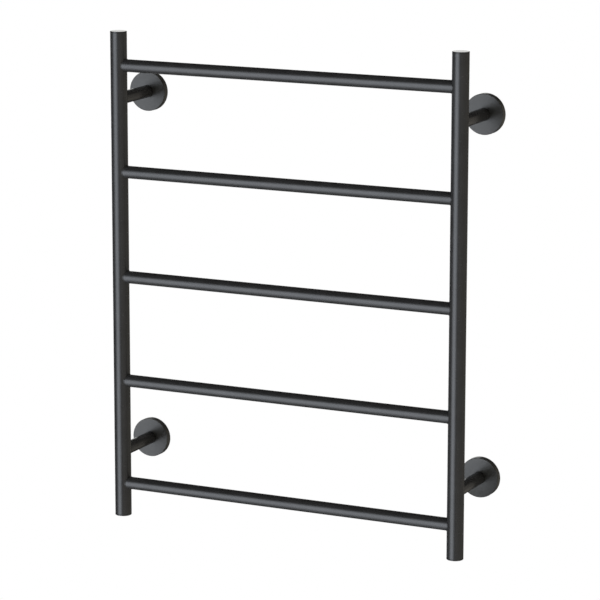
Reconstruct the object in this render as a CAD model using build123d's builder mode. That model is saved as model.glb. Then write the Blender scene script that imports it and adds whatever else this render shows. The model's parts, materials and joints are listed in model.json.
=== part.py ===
from build123d import *
from math import atan, pi, sqrt, tan
import os

# Wall-hung heated towel ladder: two round posts, five round rungs, and four stand-offs on screwed wall plates.
#
# Frame, in millimetres: +X to the right seen from the room, +Y into the wall, +Z up. The origin is the centre
# of the four wall plates on the wall plane, so the whole rack lies on the -Y side.
#
# The ladder is a welded set of tubes: the rungs and stand-offs plug into holes in the posts. A silicone
# heating cable snakes up through the rungs and posts, fed through a thermal cut-out in the lowest rung. Each
# stand-off pushes over the spigot of a wall plate, where a cone-point grub screw pulls into the spigot's
# groove. A round cover with an O-ring slides along each stand-off and hides the plate and its screws.

# ---- posts and rungs -----------------------------------------------------------------------------------
post_length = 738.0
post_diameter = 25.0
post_wall = 1.5
post_spacing = 550.0  # between the two posts' axes
rung_count = 5
rung_end_margin = 49.0  # from a post tube's end to the nearest rung's axis
rung_diameter = 19.0
rung_wall = 1.2
plug_play = 0.05  # radial, between a plugged-in tube and its hole in the post
plug_bite = 1.1  # how far a plugged-in tube goes in, past where its sides meet the post
weld_leg = 0.7  # how far a weld bead reaches along each tube
weld_edge = 0.1  # thickness of a weld bead's feathered edges
weld_gap = 0.02  # between a weld bead and the tubes it joins
seam_chamfer = 0.3  # on both sides of the seam between a post tube and its end cap

# ---- stand-offs and wall plates ------------------------------------------------------------------------
wall_distance = 97.5  # from the wall to the posts' axes
standoff_end_margin = 99.0  # from a post tube's end to the nearest stand-off's axis
standoff_diameter = 19.0
standoff_wall = 2.0
plate_gap = 2.5  # radial, between the wall plate and the inside of its cover
plate_thickness = 3.5
plate_chamfer = 0.5
spigot_play = 0.1  # radial, between the spigot and the stand-off's bore
spigot_length = 19.0
spigot_wall = 3.4
spigot_chamfer = 1.0
screw_hole_diameter = 5.2
screw_head_diameter = 9.6
screw_from_edge = 8.0  # from the wall plate's edge to a screw hole's axis
grub_diameter = 4.0
grub_from_end = 4.2  # from the stand-off's wall end to the grub screw's axis
grub_recess = 0.25
grub_bite = 2.15  # how deep the grub screw's cone goes into the spigot
grub_cone_gap = 0.05
grub_key_size = 2.0  # across the flats of the hexagon socket
grub_key_depth = 1.6

# ---- sliding covers ------------------------------------------------------------------------------------
cover_diameter = 60.0
cover_depth = 10.0
cover_wall_gap = 0.2  # between the cover's rim and the wall
cover_face = 2.0
cover_rim = 1.5
cover_edge_radius = 0.8
cover_corner_radius = 1.0
cover_play = 0.1  # radial, between the cover and the stand-off
cover_stop_gap = 0.5  # left between a cover slid right out and the stand-off's weld bead
collar_wall = 3.0
collar_clearance = 0.6  # between the cover's collar and the wall plate
ring_section = 1.4
ring_play = 0.06  # radial, between the O-ring and the stand-off
ring_groove_play = 0.15  # on each side of the O-ring and behind it
ring_from_face = 4.4  # from the cover's face to the middle of the O-ring

# ---- end caps ------------------------------------------------------------------------------------------
cap_rim = 2.0
cap_edge_radius = 0.7
cap_plug_length = 10.0
cap_plug_wall = 1.6
cap_plug_play = 0.05
cap_chamfer = 0.7

# ---- heating element -----------------------------------------------------------------------------------
cable_diameter = 4.0
cable_post_gap = 0.8  # between the cable and the post's outer wall
cable_floor_gap = 0.15  # between the cable and the floor of a rung
cable_lip_gap = 1.0  # between the cable and the rung's end, where it turns out of the post
cable_sag_run = 125.0  # in which the cable comes down to the rung's floor
cable_sag_radius = 1000.0
cable_straight = 8.0  # kept level beside the cut-out, the end seal and each turn into a rung
joint_diameter = 9.0
joint_length = 42.0
joint_from_end = 6.0  # from the rung's end to the supply joint
joint_chamfer = 1.2
supply_socket_diameter = 6.2
supply_socket_depth = 14.0
lead_length = 16.0  # the bare part of the link lead
cable_grip = 8.0  # how far a cable goes into the joint, the cut-out or the end seal
grip_play = 0.02  # radial
cutout_length = 30.0
cutout_width = 10.0
cutout_height = 7.0
cutout_corner_radius = 2.5
cutout_edge_chamfer = 0.6
seal_diameter = 6.4
seal_length = 24.0
seal_from_end = 10.0  # from the rung's end to the end seal
seal_end_radius = 2.0

# ---- cable inlet ---------------------------------------------------------------------------------------
grommet_wall = 0.85
grommet_length = 12.0
grommet_play = 0.05  # radial, between the grommet and the wall plate
grommet_flange = 2.5  # how far the flange stands out from the sleeve
grommet_flange_thickness = 1.2
grommet_chamfer = 0.4

# ---- worked out ----------------------------------------------------------------------------------------
post_radius = post_diameter / 2
post_bore = post_radius - post_wall
post_x = post_spacing / 2
post_y = -wall_distance
rung_radius = rung_diameter / 2
rung_bore = rung_radius - rung_wall
rung_pitch = (post_length - 2 * rung_end_margin) / (rung_count - 1)
rung_heights = [(i - (rung_count - 1) / 2) * rung_pitch for i in range(rung_count)]  # lowest first
rung_seat = sqrt(post_radius**2 - rung_radius**2) - plug_bite  # from the post's axis to the rung's end
rung_end = post_x - rung_seat
standoff_radius = standoff_diameter / 2
standoff_bore = standoff_radius - standoff_wall
standoff_z = post_length / 2 - standoff_end_margin
standoff_seat = sqrt(post_radius**2 - standoff_radius**2) - plug_bite
cover_radius = cover_diameter / 2
cover_bore = standoff_radius + cover_play
cover_travel = wall_distance - post_radius - weld_leg - cover_stop_gap - cover_depth
collar_radius = cover_bore + collar_wall
ring_inner = standoff_radius + ring_play
ring_depth = cover_depth - ring_from_face
plate_radius = cover_radius - cover_rim - plate_gap
spigot_radius = standoff_bore - spigot_play
cable_way = spigot_radius - spigot_wall  # radius of the cable bore through a wall plate
screw_spread = plate_radius - screw_from_edge
grub_depth = plate_thickness + grub_from_end
grub_tip = spigot_radius - grub_bite
grub_head = standoff_radius - grub_recess
cable_radius = cable_diameter / 2
cable_offset = post_bore - cable_radius - cable_post_gap  # outwards from the post's axis
joint_drop = rung_bore - cable_floor_gap - joint_diameter / 2  # the joint lies on the rung's floor
cable_drop = rung_bore - cable_floor_gap - cable_radius
seal_drop = rung_bore - cable_floor_gap - seal_diameter / 2
joint_outer = rung_end - joint_from_end
joint_inner = joint_outer - joint_length
cutout_outer = joint_inner - lead_length
cutout_inner = cutout_outer - cutout_length

sides = {"left": -1, "right": 1}
levels = {"lower": -1, "upper": 1}
brackets = {
    f"{level}_{side}": (sx * post_x, sz * standoff_z)
    for level, sz in levels.items()
    for side, sx in sides.items()
}
wired_bracket = brackets["lower_right"]


def largest_bend():
    """The radius of the largest arc that turns the cable from the post into a rung.

    It clears the rung's lower lip, which lies across + up from the corner of the route: the arc's inside
    passes the lip at the lip gap.
    """
    keep = cable_radius + cable_lip_gap
    across = cable_offset + rung_seat - keep
    up = rung_bore - keep
    return across + up + keep + sqrt(2 * across * up)


def sag_reach(drop):
    """How far the gentle bend at either end of a sag reaches along the cable, for a sag of this drop."""
    return cable_sag_radius * tan(atan(drop / cable_sag_run) / 2)


def facing_room(x, z, depth=0.0):
    """A plane parallel to the wall, depth in front of it, on a stand-off's axis, facing into the room."""
    return Plane(origin=(x, -depth, z), x_dir=(1, 0, 0), z_dir=(0, -1, 0))


def turned_profile(x, z):
    """The plane of a profile turned about a stand-off's axis: local x is the radius, local y the depth."""
    return Plane(origin=(x, 0, z), x_dir=(1, 0, 0), z_dir=(0, 0, -1))


def across_rung(x):
    """A plane across the rungs at x: local x runs along Y, local y along Z, and the normal points to +X."""
    return Plane.YZ.offset(x)


def save(part, name):
    """Labels a finished piece and writes it as parts/NAME.step."""
    part.label = name
    export_step(part, f"parts/{name}.step")


# ---- ladder --------------------------------------------------------------------------------------------
def make_post(side):
    """A post tube, with a hole on its inner side for each rung and one in its back for each stand-off."""
    x = side * post_x
    with BuildPart() as post:
        with BuildSketch(Plane.XY.offset(-post_length / 2)):
            with Locations((x, post_y)):
                Circle(post_radius)
                Circle(post_bore, mode=Mode.SUBTRACT)
        extrude(amount=post_length)
        for end in (post.faces().sort_by(Axis.Z)[0], post.faces().sort_by(Axis.Z)[-1]):
            chamfer(end.outer_wire().edges(), seam_chamfer)
        with BuildSketch(across_rung(x)):
            with Locations(*[(post_y, z) for z in rung_heights]):
                Circle(rung_radius + plug_play)
        extrude(amount=-side * post_diameter, mode=Mode.SUBTRACT)
        with BuildSketch(Plane.XZ.offset(wall_distance)):
            with Locations((x, -standoff_z), (x, standoff_z)):
                Circle(standoff_radius + plug_play)
        extrude(amount=-post_diameter, mode=Mode.SUBTRACT)
    return post.part


def make_rung(z):
    """A rung tube. Its square-cut ends sit inside the holes of both posts."""
    with BuildPart() as rung:
        with BuildSketch(across_rung(-rung_end)):
            with Locations((post_y, z)):
                Circle(rung_radius)
                Circle(rung_bore, mode=Mode.SUBTRACT)
        extrude(amount=2 * rung_end)
    return rung.part


def make_standoff(x, z):
    """A stand-off tube, from the wall plate into the post's back, with the grub screw's hole underneath."""
    with BuildPart() as standoff:
        with BuildSketch(facing_room(x, z, plate_thickness)):
            Circle(standoff_radius)
            Circle(standoff_bore, mode=Mode.SUBTRACT)
        extrude(amount=wall_distance - standoff_seat - plate_thickness)
        with BuildSketch(Plane.XY.offset(z)):
            with Locations((x, -grub_depth)):
                Circle(grub_diameter / 2 + plug_play)
        extrude(amount=-standoff_diameter, mode=Mode.SUBTRACT)
    return standoff.part


def make_end_cap(x, up):
    """A plug for a post's end: a thin rounded rim on a hollow skirt. up is 1 at the top, -1 below."""
    skirt_radius = post_bore - cap_plug_play
    seat = Plane(origin=(x, post_y, up * post_length / 2), x_dir=(1, 0, 0), z_dir=(0, 0, up))
    with BuildPart() as cap:
        with BuildSketch(seat):
            Circle(post_radius)
        extrude(amount=cap_rim)
        ends = cap.faces().filter_by(GeomType.PLANE).sort_by(Axis.Z, reverse=up < 0)
        fillet(ends[-1].edges(), cap_edge_radius)
        chamfer(ends[0].edges(), seam_chamfer)
        with BuildSketch(seat):
            Circle(skirt_radius)
            Circle(skirt_radius - cap_plug_wall, mode=Mode.SUBTRACT)
        extrude(amount=-cap_plug_length)
        tip = cap.faces().filter_by(GeomType.PLANE).sort_by(Axis.Z, reverse=up < 0)[0]
        chamfer(tip.outer_wire().edges(), cap_chamfer)
    return cap.part


def make_weld(tube_plane, tube_radius):
    """A weld bead round a tube where it enters a post: a saddle-shaped ring, sloped from tube to post.

    tube_plane lies across the tube on the post's axis. Its normal points along the tube, out of the post.
    """
    x, y, z = tube_plane.origin
    with BuildPart() as bead:
        with BuildSketch(tube_plane):
            Circle(tube_radius + weld_leg)
            Circle(tube_radius + weld_gap, mode=Mode.SUBTRACT)
        extrude(amount=post_radius + weld_leg)
        with BuildSketch(Plane(origin=(x, y, z - post_diameter))):
            Circle(post_radius + weld_leg)
            Circle(post_radius + weld_gap, mode=Mode.SUBTRACT)
        extrude(amount=2 * post_diameter, mode=Mode.INTERSECT)
        crown = bead.edges().sort_by(SortBy.LENGTH)[-1]
        chamfer(crown, weld_leg - weld_edge)
    return bead.part


def make_welds(side):
    """All the weld beads of one post: one round each rung's end and one round each stand-off."""
    x = side * post_x
    rung_planes = [Plane(origin=(x, post_y, z), x_dir=(0, 1, 0), z_dir=(-side, 0, 0)) for z in rung_heights]
    standoff_planes = [
        Plane(origin=(x, post_y, z), x_dir=(1, 0, 0), z_dir=(0, 1, 0)) for z in (-standoff_z, standoff_z)
    ]
    beads = [make_weld(plane, rung_radius) for plane in rung_planes]
    beads += [make_weld(plane, standoff_radius) for plane in standoff_planes]
    return Compound(children=beads)


# ---- wall fixings --------------------------------------------------------------------------------------
def make_wall_plate(x, z):
    """A turned plate with a hollow, grooved spigot, two countersunk holes and a seat for a cable grommet."""
    with BuildPart() as plate:
        with BuildSketch(facing_room(x, z)):
            Circle(plate_radius)
        extrude(amount=plate_thickness)
        chamfer(plate.faces().sort_by(Axis.Y)[0].edges(), plate_chamfer)
        with BuildSketch(facing_room(x, z, plate_thickness)):
            Circle(spigot_radius)
        extrude(amount=spigot_length)
        chamfer(plate.faces().sort_by(Axis.Y)[0].edges(), spigot_chamfer)
        groove_bottom = grub_tip - grub_cone_gap
        groove_half = spigot_radius - groove_bottom
        with BuildSketch(turned_profile(x, z)):
            with BuildLine():
                Polyline(
                    (groove_bottom, grub_depth),
                    (spigot_radius, grub_depth - groove_half),
                    (spigot_radius, grub_depth + groove_half),
                    close=True,
                )
            make_face()
        revolve(axis=Axis((x, 0, z), (0, -1, 0)), mode=Mode.SUBTRACT)
        with BuildSketch(facing_room(x, z)):
            Circle(cable_way)
        extrude(amount=plate_thickness + spigot_length, mode=Mode.SUBTRACT)
        with BuildSketch(facing_room(x, z)):
            Circle(cable_way + grommet_flange)
        extrude(amount=grommet_flange_thickness, mode=Mode.SUBTRACT)
        with Locations(facing_room(x, z, plate_thickness)):
            with Locations((0, -screw_spread), (0, screw_spread)):
                CounterSinkHole(screw_hole_diameter / 2, screw_head_diameter / 2, plate_thickness, 90)
    return plate.part


def make_grub_screw(x, z):
    """A cone-point grub screw, driven up from under the stand-off until its cone fills the groove."""
    radius = grub_diameter / 2
    with BuildPart() as screw:
        with BuildSketch(Plane(origin=(x, -grub_depth, z), x_dir=(1, 0, 0), z_dir=(0, 1, 0))):
            with BuildLine():
                Polyline(
                    (0, grub_tip),
                    (radius, grub_tip + radius),
                    (radius, grub_head),
                    (0, grub_head),
                    close=True,
                )
            make_face()
        revolve(axis=Axis((x, -grub_depth, z), (0, 0, 1)))
        with BuildSketch(Plane.XY.offset(z - grub_head)):
            with Locations((x, -grub_depth)):
                RegularPolygon(grub_key_size / 2, 6, major_radius=False)
        extrude(amount=grub_key_depth, mode=Mode.SUBTRACT)
    return screw.part


def make_cover(x, z):
    """A round cover: a face on a thin rim, and a collar that slides on the stand-off and holds the O-ring."""
    with BuildPart() as cover:
        with BuildSketch(facing_room(x, z, cover_wall_gap)):
            Circle(cover_radius)
        extrude(amount=cover_depth - cover_wall_gap)
        fillet(cover.faces().sort_by(Axis.Y)[0].edges(), cover_edge_radius)
        with BuildSketch(facing_room(x, z)):
            Circle(cover_radius - cover_rim)
            Circle(collar_radius, mode=Mode.SUBTRACT)
        extrude(amount=cover_depth - cover_face, mode=Mode.SUBTRACT)
        inside = cover.faces().filter_by(GeomType.PLANE).sort_by(Axis.Y)[1]
        fillet(inside.edges(), cover_corner_radius)
        with BuildSketch(facing_room(x, z)):
            Circle(collar_radius)
        extrude(amount=plate_thickness + collar_clearance, mode=Mode.SUBTRACT)
        with BuildSketch(facing_room(x, z)):
            Circle(cover_bore)
        extrude(amount=cover_depth, mode=Mode.SUBTRACT)
        groove_half = ring_section / 2 + ring_groove_play
        with BuildSketch(facing_room(x, z, ring_depth - groove_half)):
            Circle(ring_inner + ring_section + ring_groove_play)
        extrude(amount=2 * groove_half, mode=Mode.SUBTRACT)
    return cover.part


def make_cover_ring(x, z):
    """The O-ring in a cover's collar, which grips the stand-off so that the cover stays where it is."""
    with BuildPart() as ring:
        with BuildSketch(turned_profile(x, z)):
            with Locations((ring_inner + ring_section / 2, ring_depth)):
                Circle(ring_section / 2)
        revolve(axis=Axis((x, 0, z), (0, -1, 0)))
    return ring.part


def make_grommet(x, z):
    """A flanged sleeve in a wall plate's cable bore. Its flange lies flush with the plate's back."""
    outer = cable_way - grommet_play
    with BuildPart() as grommet:
        with BuildSketch(facing_room(x, z)):
            Circle(outer)
        extrude(amount=grommet_length)
        chamfer(grommet.faces().sort_by(Axis.Y)[0].edges(), grommet_chamfer)
        with BuildSketch(facing_room(x, z)):
            Circle(outer + grommet_flange)
        extrude(amount=grommet_flange_thickness - grommet_play)
        with BuildSketch(facing_room(x, z)):
            Circle(outer - grommet_wall)
        extrude(amount=grommet_length, mode=Mode.SUBTRACT)
    return grommet.part


# ---- heating element -----------------------------------------------------------------------------------
def cable_route():
    """Corners of the heating cable's route as (x, z), and the radius at each corner between the two ends.

    The cable leaves the cut-out in the lowest rung and lies on the floor of each rung in turn. It turns up
    inside the post at the rung's far end, and comes into the next rung at mid-height to clear its lip.
    """
    bend = largest_bend()
    lowest = rung_heights[0]
    start = cutout_inner + cable_grip
    straight_end = cutout_inner - cable_straight - sag_reach(cable_drop - joint_drop)
    corners = [
        (start, lowest - joint_drop),
        (straight_end, lowest - joint_drop),
        (straight_end - cable_sag_run, lowest - cable_drop),
    ]
    radii = [cable_sag_radius, cable_sag_radius]
    heading = -1
    for below, above in zip(rung_heights, rung_heights[1:]):
        turn = heading * (post_x + cable_offset)
        level_end = turn - heading * (bend + cable_straight + sag_reach(cable_drop))
        corners += [
            (turn, below - cable_drop),
            (turn, above),
            (level_end, above),
            (level_end - heading * cable_sag_run, above - cable_drop),
        ]
        radii += [bend, bend, cable_sag_radius, cable_sag_radius]
        heading = -heading
    highest = rung_heights[-1]
    seal_inner = rung_end - seal_from_end - seal_length
    seal_straight = seal_inner - cable_straight - sag_reach(cable_drop - seal_drop)
    corners += [
        (heading * (seal_straight - cable_sag_run), highest - cable_drop),
        (heading * seal_straight, highest - seal_drop),
        (heading * (seal_inner + cable_grip), highest - seal_drop),
    ]
    radii += [cable_sag_radius, cable_sag_radius]
    return corners, radii


def make_heating_cable():
    """The heating cable, one run from the cut-out to the end seal."""
    corners, radii = cable_route()
    with BuildPart() as cable:
        with BuildLine(Plane.XZ.offset(wall_distance)) as route:
            FilletPolyline(*corners, radius=radii)
        with BuildSketch(Plane(origin=route.line @ 0, z_dir=route.line % 0)):
            Circle(cable_radius)
        sweep()
    length = sum(edge.length for edge in route.edges())
    share = cable.part.volume / (pi * cable_radius**2 * length)
    print(f"heating cable: {length:.0f} mm long, bends R{min(radii):.1f}")
    print(f"heating cable: volume / (section x length) {share:.5f}")
    return cable.part


def make_supply_joint():
    """The insulated joint in the lowest rung's right end, with a socket for the supply lead."""
    height = rung_heights[0] - joint_drop
    with BuildPart() as joint:
        with BuildSketch(across_rung(joint_inner)):
            with Locations((post_y, height)):
                Circle(joint_diameter / 2)
        extrude(amount=joint_length)
        chamfer(joint.faces().filter_by(GeomType.PLANE).edges(), joint_chamfer)
        with BuildSketch(across_rung(joint_outer)):
            with Locations((post_y, height)):
                Circle(supply_socket_diameter / 2)
        extrude(amount=-supply_socket_depth, mode=Mode.SUBTRACT)
        with BuildSketch(across_rung(joint_inner)):
            with Locations((post_y, height)):
                Circle(cable_radius + grip_play)
        extrude(amount=cable_grip, mode=Mode.SUBTRACT)
    return joint.part


def make_link_lead():
    """The short lead between the supply joint and the thermal cut-out."""
    with BuildPart() as lead:
        with BuildSketch(across_rung(cutout_outer - cable_grip)):
            with Locations((post_y, rung_heights[0] - joint_drop)):
                Circle(cable_radius)
        extrude(amount=lead_length + 2 * cable_grip)
    return lead.part


def make_thermal_cutout():
    """The sealed thermal cut-out, a rounded block with a cable grip in each end."""
    height = rung_heights[0] - joint_drop
    with BuildPart() as cutout:
        with BuildSketch(across_rung(cutout_inner)):
            with Locations((post_y, height)):
                RectangleRounded(cutout_width, cutout_height, cutout_corner_radius)
        extrude(amount=cutout_length)
        chamfer(cutout.faces().filter_by(Axis.X).edges(), cutout_edge_chamfer)
        for end, inwards in ((cutout_inner, cable_grip), (cutout_outer, -cable_grip)):
            with BuildSketch(across_rung(end)):
                with Locations((post_y, height)):
                    Circle(cable_radius + grip_play)
            extrude(amount=inwards, mode=Mode.SUBTRACT)
    return cutout.part


def make_end_seal():
    """The closed sleeve on the heating cable's dead end, in the highest rung."""
    side = -1 if rung_count % 2 else 1
    inner = side * (rung_end - seal_from_end - seal_length)
    with BuildPart() as seal:
        with BuildSketch(across_rung(inner)):
            with Locations((post_y, rung_heights[-1] - seal_drop)):
                Circle(seal_diameter / 2)
        extrude(amount=side * seal_length)
        tip = seal.faces().filter_by(GeomType.PLANE).sort_by(Axis.X, reverse=side < 0)[-1]
        fillet(tip.edges(), seal_end_radius)
        with BuildSketch(across_rung(inner)):
            with Locations((post_y, rung_heights[-1] - seal_drop)):
                Circle(cable_radius + grip_play)
        extrude(amount=side * cable_grip, mode=Mode.SUBTRACT)
    return seal.part


# ---- all pieces ----------------------------------------------------------------------------------------
os.makedirs("parts", exist_ok=True)
print(f"covers slide {cover_travel:.1f} mm")

for side_name, sx in sides.items():
    save(make_post(sx), f"post_{side_name}")
    save(make_welds(sx), f"weld_beads_{side_name}")
    save(make_end_cap(sx * post_x, 1), f"end_cap_top_{side_name}")
    save(make_end_cap(sx * post_x, -1), f"end_cap_bottom_{side_name}")

for number, rung_z in enumerate(rung_heights, start=1):
    save(make_rung(rung_z), f"rung_{number}")

for bracket_name, (bracket_x, bracket_z) in brackets.items():
    save(make_standoff(bracket_x, bracket_z), f"standoff_{bracket_name}")
    save(make_wall_plate(bracket_x, bracket_z), f"wall_plate_{bracket_name}")
    save(make_cover(bracket_x, bracket_z), f"cover_{bracket_name}")
    save(make_cover_ring(bracket_x, bracket_z), f"cover_ring_{bracket_name}")

save(Compound(children=[make_grub_screw(x, z) for x, z in brackets.values()]), "grub_screws")
save(make_grommet(*wired_bracket), "cable_grommet")
save(make_supply_joint(), "supply_joint")
save(make_link_lead(), "link_lead")
save(make_thermal_cutout(), "thermal_cutout")
save(make_heating_cable(), "heating_cable")
save(make_end_seal(), "end_seal")
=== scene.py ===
"""Wall-hung towel ladder in black powder coat: finishes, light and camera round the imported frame."""
import json
import math

import bmesh
import bpy
from mathutils import Matrix, Vector


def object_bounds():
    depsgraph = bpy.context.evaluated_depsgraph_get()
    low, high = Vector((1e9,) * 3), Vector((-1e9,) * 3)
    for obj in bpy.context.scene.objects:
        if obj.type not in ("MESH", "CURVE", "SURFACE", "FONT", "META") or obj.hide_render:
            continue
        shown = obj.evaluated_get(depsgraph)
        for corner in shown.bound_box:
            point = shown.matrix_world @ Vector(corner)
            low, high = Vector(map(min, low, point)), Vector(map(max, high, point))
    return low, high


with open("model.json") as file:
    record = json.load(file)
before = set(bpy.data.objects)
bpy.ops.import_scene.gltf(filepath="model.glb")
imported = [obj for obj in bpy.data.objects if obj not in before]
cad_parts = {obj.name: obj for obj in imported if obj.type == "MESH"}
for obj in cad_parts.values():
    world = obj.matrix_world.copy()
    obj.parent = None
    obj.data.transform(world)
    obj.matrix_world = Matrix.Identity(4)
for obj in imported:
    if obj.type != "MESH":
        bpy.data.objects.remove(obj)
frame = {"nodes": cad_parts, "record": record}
cad_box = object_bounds()

# ---- camera: angles in degrees, lens and sensor in millimetres, places in metres -------------------
CAMERA_AZIMUTH = 25.730
CAMERA_ELEVATION = 11.701
CAMERA_ROLL = 0.079
CAMERA_DISTANCE = 4.506665
CAMERA_LENS = 184.484
SENSOR_WIDTH = 36.0
CAMERA_TARGET = Vector((0.024334, -0.0975, -0.009111))  # on the plane of the posts' axes
CLIP_START = 0.05
CLIP_END = 200.0

# ---- surroundings ----------------------------------------------------------------------------------
FLOOR_DROP = 0.85  # from the rack's lowest point to the floor
FLOOR_HALF = 40.0
PAPER_WHITE = (1.0, 1.0, 1.0, 1.0)
AMBIENT = (0.02, 0.02, 0.02)
# The light panels stand far away all round the rack. Each row is a panel's middle azimuth, its span
# across that, its span of elevation, its colour and its strength. A span is (dark, full, full, dark)
# in degrees. A lowest edge past -90 leaves some light straight below.
PANELS = (
    # a tall softbox on the left
    (-24.0, (-42.0, -6.0, 6.0, 42.0), (-85.0, -14.0, 0.0, 38.0), (0.87, 0.92, 1.0), 3.7),
    # what the ground throws back from it
    (-40.0, (-75.0, -35.0, 35.0, 75.0), (-100.0, -95.0, -70.0, -50.0), (0.90, 0.94, 1.0), 0.5),
    # a reflector on the right
    (85.0, (-80.0, -50.0, 30.0, 80.0), (-95.0, -50.0, 0.0, 40.0), (1.0, 0.96, 0.88), 0.43),
    # weak ones at the left rear and the right rear
    (-125.0, (-50.0, -30.0, 10.0, 35.0), (-50.0, -30.0, -8.0, 8.0), (1.0, 1.0, 1.0), 0.08),
    (160.0, (-14.0, -5.0, 8.0, 30.0), (-40.0, -22.0, 6.0, 20.0), (1.0, 0.93, 0.82), 0.32),
    # a high wide one and a low narrow one behind, which keep the back from going black
    (150.0, (-60.0, -35.0, 30.0, 52.0), (36.0, 50.0, 64.0, 82.0), (1.0, 1.0, 1.0), 1.4),
    (220.0, (-12.0, -4.0, 5.0, 14.0), (-42.0, -26.0, -8.0, 8.0), (0.95, 0.97, 1.0), 1.5),
    # a small lamp behind, which the flat tops of the end caps catch
    (206.0, (-12.0, -4.0, 4.0, 12.0), (-5.0, 1.0, 11.0, 17.0), (1.0, 1.0, 0.98), 1.25),
)


def direction(azimuth, elevation):
    """The unit vector that points that way from the rack: azimuth 0 is the room's side, 90 is +X."""
    azimuth = math.radians(azimuth)
    elevation = math.radians(elevation)
    level = math.cos(elevation)
    return Vector((math.sin(azimuth) * level, -math.cos(azimuth) * level, math.sin(elevation)))


class Nodes:
    """A node tree, emptied, and short calls that add nodes to it."""

    def __init__(self, tree):
        self.tree = tree
        tree.nodes.clear()

    def add(self, kind, inputs=None, **settings):
        """Add a node. Each input, by name or number, is linked to a socket or set to a value."""
        node = self.tree.nodes.new(kind)
        for name, value in settings.items():
            setattr(node, name, value)
        for name, value in (inputs or {}).items():
            if isinstance(value, bpy.types.NodeSocket):
                self.tree.links.new(value, node.inputs[name])
            else:
                node.inputs[name].default_value = value
        return node

    def math(self, operation, a, b=0.0):
        return self.add("ShaderNodeMath", {0: a, 1: b}, operation=operation).outputs[0]

    def vector_math(self, operation, inputs):
        return self.add("ShaderNodeVectorMath", inputs, operation=operation).outputs

    def dot(self, a, b):
        return self.vector_math("DOT_PRODUCT", {0: a, 1: b})["Value"]

    def ramp(self, value, low, high, out_low, out_high, kind="LINEAR"):
        node = self.add(
            "ShaderNodeMapRange",
            {"Value": value, "From Min": low, "From Max": high, "To Min": out_low, "To Max": out_high},
            interpolation_type=kind,
        )
        return node.outputs["Result"]

    def window(self, angle, span):
        """1 between the middle two of a span's four angles, fading to 0 at the outer two."""
        dark_low, full_low, full_high, dark_high = (math.radians(edge) for edge in span)
        rise = self.ramp(angle, dark_low, full_low, 0.0, 1.0, "SMOOTHSTEP")
        fall = self.ramp(angle, full_high, dark_high, 1.0, 0.0, "SMOOTHSTEP")
        return self.math("MULTIPLY", rise, fall)

    def blend(self, share, a, b):
        """A colour from a to b. A Mix node has its colours at inputs 6 and 7 and output 2."""
        colours = {0: share, 6: (*a, 1.0), 7: (*b, 1.0)}
        return self.add("ShaderNodeMix", colours, data_type="RGBA").outputs[2]

    def noise(self, place, scale, detail, roughness):
        inputs = {"Vector": place, "Scale": scale, "Detail": detail, "Roughness": roughness}
        return self.add("ShaderNodeTexNoise", inputs).outputs["Fac"]

    def either(self, share, a, b):
        """The shader a where share is 0, and b where it is 1."""
        return self.add("ShaderNodeMixShader", {0: share, 1: a, 2: b}).outputs[0]


# ---- camera object ---------------------------------------------------------------------------------
camera_data = bpy.data.cameras.new("camera")
camera_data.sensor_width = SENSOR_WIDTH
camera_data.lens = CAMERA_LENS
camera_data.clip_start = CLIP_START
camera_data.clip_end = CLIP_END
camera = bpy.data.objects.new("camera", camera_data)
bpy.context.scene.collection.objects.link(camera)
bpy.context.scene.camera = camera
back = direction(CAMERA_AZIMUTH, CAMERA_ELEVATION)
azimuth = math.radians(CAMERA_AZIMUTH)
level_right = Vector((math.cos(azimuth), math.sin(azimuth), 0.0))
level_up = back.cross(level_right)
roll = math.radians(CAMERA_ROLL)
right = level_right * math.cos(roll) + level_up * math.sin(roll)
up = level_up * math.cos(roll) - level_right * math.sin(roll)
turn = Matrix((right, up, back)).transposed().to_4x4()
camera.matrix_world = Matrix.Translation(CAMERA_TARGET + back * CAMERA_DISTANCE) @ turn

# ---- world: white paper to the camera, soft panels to the rack -------------------------------------
world = bpy.data.worlds.new("studio")
bpy.context.scene.world = world
world.use_nodes = True
nodes = Nodes(world.node_tree)
ray = nodes.add("ShaderNodeTexCoord").outputs["Generated"]
elevation = nodes.math("ARCSINE", nodes.dot(ray, (0.0, 0.0, 1.0)))
total = AMBIENT
for middle, span, elevation_span, colour, strength in PANELS:
    sideways = nodes.dot(ray, direction(middle + 90.0, 0.0))
    across = nodes.math("ARCTAN2", sideways, nodes.dot(ray, direction(middle, 0.0)))
    inside = nodes.math("MULTIPLY", nodes.window(across, span), nodes.window(elevation, elevation_span))
    level = nodes.math("MULTIPLY", inside, strength)
    panel = nodes.vector_math("SCALE", {0: colour, "Scale": level})[0]
    total = nodes.vector_math("ADD", {0: total, 1: panel})[0]
studio = nodes.add("ShaderNodeBackground", {"Color": total, "Strength": 1.0}).outputs[0]
paper = nodes.add("ShaderNodeBackground", {"Color": PAPER_WHITE, "Strength": 1.0}).outputs[0]
seen = nodes.add("ShaderNodeLightPath").outputs["Is Camera Ray"]
nodes.add("ShaderNodeOutputWorld", {"Surface": nodes.either(seen, studio, paper)})

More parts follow.
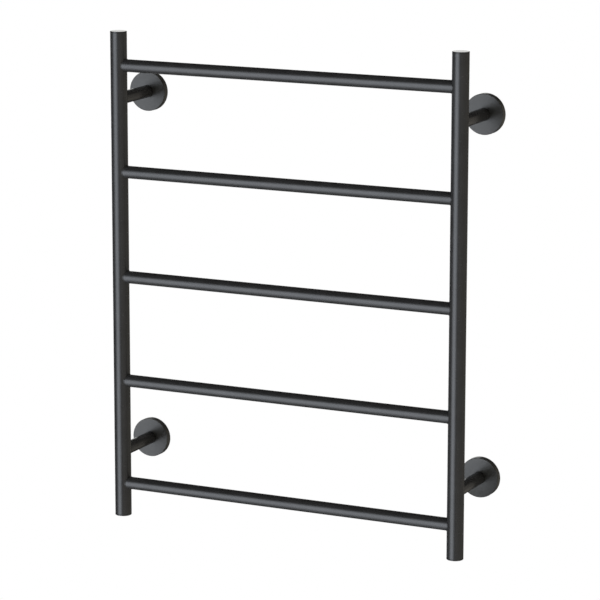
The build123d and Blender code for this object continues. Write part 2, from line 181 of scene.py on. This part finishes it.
# ---- floor: white from above, clear from below, and it neither lights nor shades the rack ----------
floor_mesh = bpy.data.meshes.new("floor")
build = bmesh.new()
floor_height = cad_box[0].z - FLOOR_DROP
signs = ((-1, -1), (1, -1), (1, 1), (-1, 1))
corners = [build.verts.new((x * FLOOR_HALF, y * FLOOR_HALF, floor_height)) for x, y in signs]
build.faces.new(corners)
build.to_mesh(floor_mesh)
build.free()
floor = bpy.data.objects.new("floor", floor_mesh)
bpy.context.scene.collection.objects.link(floor)
floor.visible_diffuse = False
floor.visible_glossy = False
floor.visible_transmission = False
floor.visible_shadow = False
floor_paint = bpy.data.materials.new("floor_paper")
floor_paint.use_nodes = True
nodes = Nodes(floor_paint.node_tree)
lit = nodes.add("ShaderNodeEmission", {"Color": PAPER_WHITE, "Strength": 1.0}).outputs[0]
clear = nodes.add("ShaderNodeBsdfTransparent").outputs[0]
under = nodes.add("ShaderNodeNewGeometry").outputs["Backfacing"]
nodes.add("ShaderNodeOutputMaterial", {"Surface": nodes.either(under, lit, clear)})
floor_mesh.materials.append(floor_paint)


# ---- finishes --------------------------------------------------------------------------------------
def surface(
    name, dark, light, patch, grain, rough, relief, height, detail, stretch=(1.0, 1.0, 1.0), **constants
):
    """A finish with patches of two near colours, a finer grain in its roughness, and a relief.

    patch, grain and relief are the sizes of those, in features per metre. rough is the lowest and
    highest roughness, height the relief's in metres, and detail its finer layers. stretch scales the
    pattern along each axis. constants are values set on the shader's own sockets.
    """
    material = bpy.data.materials.new(name)
    material.use_nodes = True
    nodes = Nodes(material.node_tree)
    place = nodes.add("ShaderNodeTexCoord").outputs["Object"]
    place = nodes.add("ShaderNodeMapping", {"Vector": place, "Scale": stretch}).outputs["Vector"]
    patches = nodes.noise(place, patch, detail=4.0, roughness=0.6)
    share = nodes.ramp(patches, low=0.35, high=0.65, out_low=0.0, out_high=1.0)
    grains = nodes.noise(place, grain, detail=3.0, roughness=0.6)
    roughness = nodes.ramp(grains, low=0.3, high=0.7, out_low=rough[0], out_high=rough[1])
    bumps = nodes.noise(place, relief, detail=detail, roughness=0.55)
    bump_inputs = {"Height": bumps, "Strength": 1.0, "Distance": height}
    normal = nodes.add("ShaderNodeBump", bump_inputs).outputs[0]
    inputs = {"Base Color": nodes.blend(share, dark, light), "Roughness": roughness, "Normal": normal}
    inputs.update({key.replace("_", " "): value for key, value in constants.items()})
    shader = nodes.add("ShaderNodeBsdfPrincipled", inputs).outputs[0]
    nodes.add("ShaderNodeOutputMaterial", {"Surface": shader})
    return material


BLACK_DARK = (0.030, 0.029, 0.028)
BLACK_LIGHT = (0.038, 0.037, 0.036)
coat = surface(
    "black_powder_coat", BLACK_DARK, BLACK_LIGHT,
    patch=40.0, grain=260.0, rough=(0.22, 0.28), relief=520.0, height=0.00002, detail=2.0,
)
cover_coat = surface(
    "black_powder_coat_on_cover", (0.031, 0.029, 0.024), (0.039, 0.037, 0.031),
    patch=40.0, grain=260.0, rough=(0.28, 0.34), relief=520.0, height=0.00002, detail=2.0,
    Specular_IOR_Level=0.43,
)
weld_coat = surface(
    "black_powder_coat_on_weld", BLACK_DARK, BLACK_LIGHT,
    patch=60.0, grain=260.0, rough=(0.22, 0.30), relief=900.0, height=0.00006, detail=2.0,
)
cap_coat = surface(
    "end_cap", BLACK_DARK, BLACK_LIGHT,
    patch=60.0, grain=400.0, rough=(0.07, 0.11), relief=700.0, height=0.000004, detail=2.0,
)
steel = surface(
    "wall_plate", (0.36, 0.36, 0.365), (0.48, 0.48, 0.485),
    patch=30.0, grain=500.0, rough=(0.32, 0.46), relief=900.0, height=0.000015, detail=3.0,
    stretch=(0.08, 1.0, 1.0), Metallic=1.0,
)
black_oxide = surface(
    "grub_screw", (0.035, 0.036, 0.040), (0.070, 0.070, 0.074),
    patch=900.0, grain=1500.0, rough=(0.34, 0.52), relief=2500.0, height=0.00001, detail=3.0,
    Metallic=0.85,
)
rubber = surface(
    "seal_rubber", (0.014, 0.014, 0.014), (0.024, 0.024, 0.023),
    patch=500.0, grain=1200.0, rough=(0.62, 0.80), relief=2600.0, height=0.000012, detail=3.0,
)
silicone = surface(
    "cable_silicone", (0.68, 0.66, 0.61), (0.77, 0.75, 0.70),
    patch=120.0, grain=900.0, rough=(0.40, 0.52), relief=1800.0, height=0.00001, detail=2.0,
)
sleeve = surface(
    "joint_sleeve", (0.045, 0.045, 0.047), (0.070, 0.070, 0.072),
    patch=300.0, grain=700.0, rough=(0.38, 0.54), relief=900.0, height=0.00004, detail=3.0,
    stretch=(0.25, 1.0, 1.0),
)
moulding = surface(
    "cutout_case", (0.74, 0.74, 0.71), (0.82, 0.82, 0.80),
    patch=200.0, grain=1500.0, rough=(0.42, 0.55), relief=3000.0, height=0.000012, detail=2.0,
)
FINISH_OF_SLOT = {
    "black_powder_coat": coat,
    "end_cap": cap_coat,
    "wall_plate": steel,
    "grub_screw": black_oxide,
    "seal_rubber": rubber,
    "cable_silicone": silicone,
    "joint_sleeve": sleeve,
    "cutout_case": moulding,
}
for row in frame["record"]["subparts"]:
    name = row["node"]
    finish = FINISH_OF_SLOT[row["material_slot"]]
    if finish is coat and name.startswith("weld_beads"):
        finish = weld_coat
    elif finish is coat and name.startswith("cover_"):
        finish = cover_coat
    for material_slot in frame["nodes"][name].material_slots:
        material_slot.material = finish

# ---- picture settings ------------------------------------------------------------------------------
bpy.context.scene.view_settings.view_transform = "Standard"
